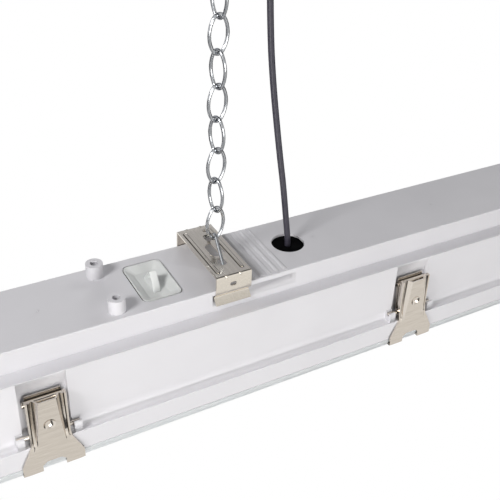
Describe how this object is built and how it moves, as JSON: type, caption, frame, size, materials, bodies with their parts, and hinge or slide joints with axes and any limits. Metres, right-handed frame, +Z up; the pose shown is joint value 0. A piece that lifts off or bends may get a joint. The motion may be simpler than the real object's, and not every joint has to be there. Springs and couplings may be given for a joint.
{
  "type": "chain-hung linear light",
  "caption": "Long damp-proof light: grey housing, opal diffuser held by steel over-centre clips, hung by chains and wire hooks from sliding steel brackets, with a flat dark supply cable.",
  "frame": {"origin": "on the ceiling plane, midway between the two chain hooks and in the middle of their screw pattern", "axes": "+X runs along the light towards its right end as the picture shows it, +Z is up towards the ceiling, -Y is the long side that faces the camera"},
  "size_m": [0.68, 0.101, 0.3277],
  "materials": {
    "housing_plastic": "satin, finely grained",
    "fitting_plastic": "matte",
    "plug_plastic": "matte",
    "opal_plastic": "opal, translucent",
    "seal_rubber": "matte",
    "latch_steel": "bright rolled",
    "bracket_steel": "brushed",
    "zinc_steel": "bright zinc plated",
    "tray_steel": "powder coat, satin",
    "driver_case": "matte",
    "terminal_plastic": "matte",
    "board": "solder mask, satin",
    "led_plastic": "phosphor, matte",
    "cable_jacket": "smooth sheath"
  },
  "bodies": {
    "ceiling": {"ceiling_hook_left": "zinc_steel", "ceiling_hook_right": "zinc_steel", "cable_outlet": "fitting_plastic"},
    "suspension": {"bracket_left": "bracket_steel", "bracket_right": "bracket_steel", "chain_hook_left": "bracket_steel", "chain_hook_right": "bracket_steel", "chain_left": "zinc_steel", "chain_right": "zinc_steel"},
    "luminaire": {"housing": "housing_plastic", "end_plugs": "fitting_plastic", "cable_grommet": "seal_rubber", "rim_gasket": "seal_rubber", "diffuser": "opal_plastic", "gear_tray": "tray_steel", "tray_screws": "zinc_steel", "driver": "driver_case", "driver_screws": "zinc_steel", "terminal_block": "terminal_plastic", "led_boards": "board", "leds": "led_plastic", "latch_axles": "latch_steel", "supply_cable": "cable_jacket"},
    "plug": {"access_plug": "plug_plastic", "plug_seal": "seal_rubber"},
    "latch_link_1": {"latch_link_1": "latch_steel", "latch_rivet_1": "latch_steel"},
    "latch_lever_1": {"latch_lever_1": "latch_steel"},
    "latch_link_2": {"latch_link_2": "latch_steel", "latch_rivet_2": "latch_steel"},
    "latch_lever_2": {"latch_lever_2": "latch_steel"},
    "latch_link_3": {"latch_link_3": "latch_steel", "latch_rivet_3": "latch_steel"},
    "latch_lever_3": {"latch_lever_3": "latch_steel"},
    "latch_link_4": {"latch_link_4": "latch_steel", "latch_rivet_4": "latch_steel"},
    "latch_lever_4": {"latch_lever_4": "latch_steel"},
    "latch_link_5": {"latch_link_5": "latch_steel", "latch_rivet_5": "latch_steel"},
    "latch_lever_5": {"latch_lever_5": "latch_steel"},
    "latch_link_6": {"latch_link_6": "latch_steel", "latch_rivet_6": "latch_steel"},
    "latch_lever_6": {"latch_lever_6": "latch_steel"}
  },
  "joints": [
    {"name": "sway", "type": "hinge", "parent": "ceiling", "child": "suspension", "pos_m": [0, 0, -0.033], "axis": [1, 0, 0], "range_deg": [-10, 10]},
    {"name": "bracket_slide", "type": "slide", "parent": "suspension", "child": "luminaire", "axis": [-1, 0, 0], "range_m": [0, 0.035]},
    {"name": "plug_lift", "type": "slide", "parent": "luminaire", "child": "plug", "axis": [0, 0, 1], "range_m": [0, 0.03]},
    {"name": "link_turn_1", "type": "hinge", "parent": "luminaire", "child": "latch_link_1", "pos_m": [-0.3012, -0.0438, -0.2834], "axis": [1, 0, 0], "range_deg": [0, 95]},
    {"name": "lever_turn_1", "type": "hinge", "parent": "latch_link_1", "child": "latch_lever_1", "pos_m": [-0.3012, -0.0406, -0.2597], "axis": [1, 0, 0], "range_deg": [-76, 0]},
    {"name": "link_turn_2", "type": "hinge", "parent": "luminaire", "child": "latch_link_2", "pos_m": [-0.0212, -0.0438, -0.2834], "axis": [1, 0, 0], "range_deg": [0, 95]},
    {"name": "lever_turn_2", "type": "hinge", "parent": "latch_link_2", "child": "latch_lever_2", "pos_m": [-0.0212, -0.0406, -0.2597], "axis": [1, 0, 0], "range_deg": [-76, 0]},
    {"name": "link_turn_3", "type": "hinge", "parent": "luminaire", "child": "latch_link_3", "pos_m": [0.2588, -0.0438, -0.2834], "axis": [1, 0, 0], "range_deg": [0, 95]},
    {"name": "lever_turn_3", "type": "hinge", "parent": "latch_link_3", "child": "latch_lever_3", "pos_m": [0.2588, -0.0406, -0.2597], "axis": [1, 0, 0], "range_deg": [-76, 0]},
    {"name": "link_turn_4", "type": "hinge", "parent": "luminaire", "child": "latch_link_4", "pos_m": [-0.3012, 0.0438, -0.2834], "axis": [-1, 0, 0], "range_deg": [0, 95]},
    {"name": "lever_turn_4", "type": "hinge", "parent": "latch_link_4", "child": "latch_lever_4", "pos_m": [-0.3012, 0.0406, -0.2597], "axis": [-1, 0, 0], "range_deg": [-76, 0]},
    {"name": "link_turn_5", "type": "hinge", "parent": "luminaire", "child": "latch_link_5", "pos_m": [-0.0212, 0.0438, -0.2834], "axis": [-1, 0, 0], "range_deg": [0, 95]},
    {"name": "lever_turn_5", "type": "hinge", "parent": "latch_link_5", "child": "latch_lever_5", "pos_m": [-0.0212, 0.0406, -0.2597], "axis": [-1, 0, 0], "range_deg": [-76, 0]},
    {"name": "link_turn_6", "type": "hinge", "parent": "luminaire", "child": "latch_link_6", "pos_m": [0.2588, 0.0438, -0.2834], "axis": [-1, 0, 0], "range_deg": [0, 95]},
    {"name": "lever_turn_6", "type": "hinge", "parent": "latch_link_6", "child": "latch_lever_6", "pos_m": [0.2588, 0.0406, -0.2597], "axis": [-1, 0, 0], "range_deg": [-76, 0]}
  ],
  "couplings": [
    {"joint": "lever_turn_1", "follows": "link_turn_1", "ratio": -0.8},
    {"joint": "lever_turn_2", "follows": "link_turn_2", "ratio": -0.8},
    {"joint": "lever_turn_3", "follows": "link_turn_3", "ratio": -0.8},
    {"joint": "lever_turn_4", "follows": "link_turn_4", "ratio": -0.8},
    {"joint": "lever_turn_5", "follows": "link_turn_5", "ratio": -0.8},
    {"joint": "lever_turn_6", "follows": "link_turn_6", "ratio": -0.8}
  ]
}
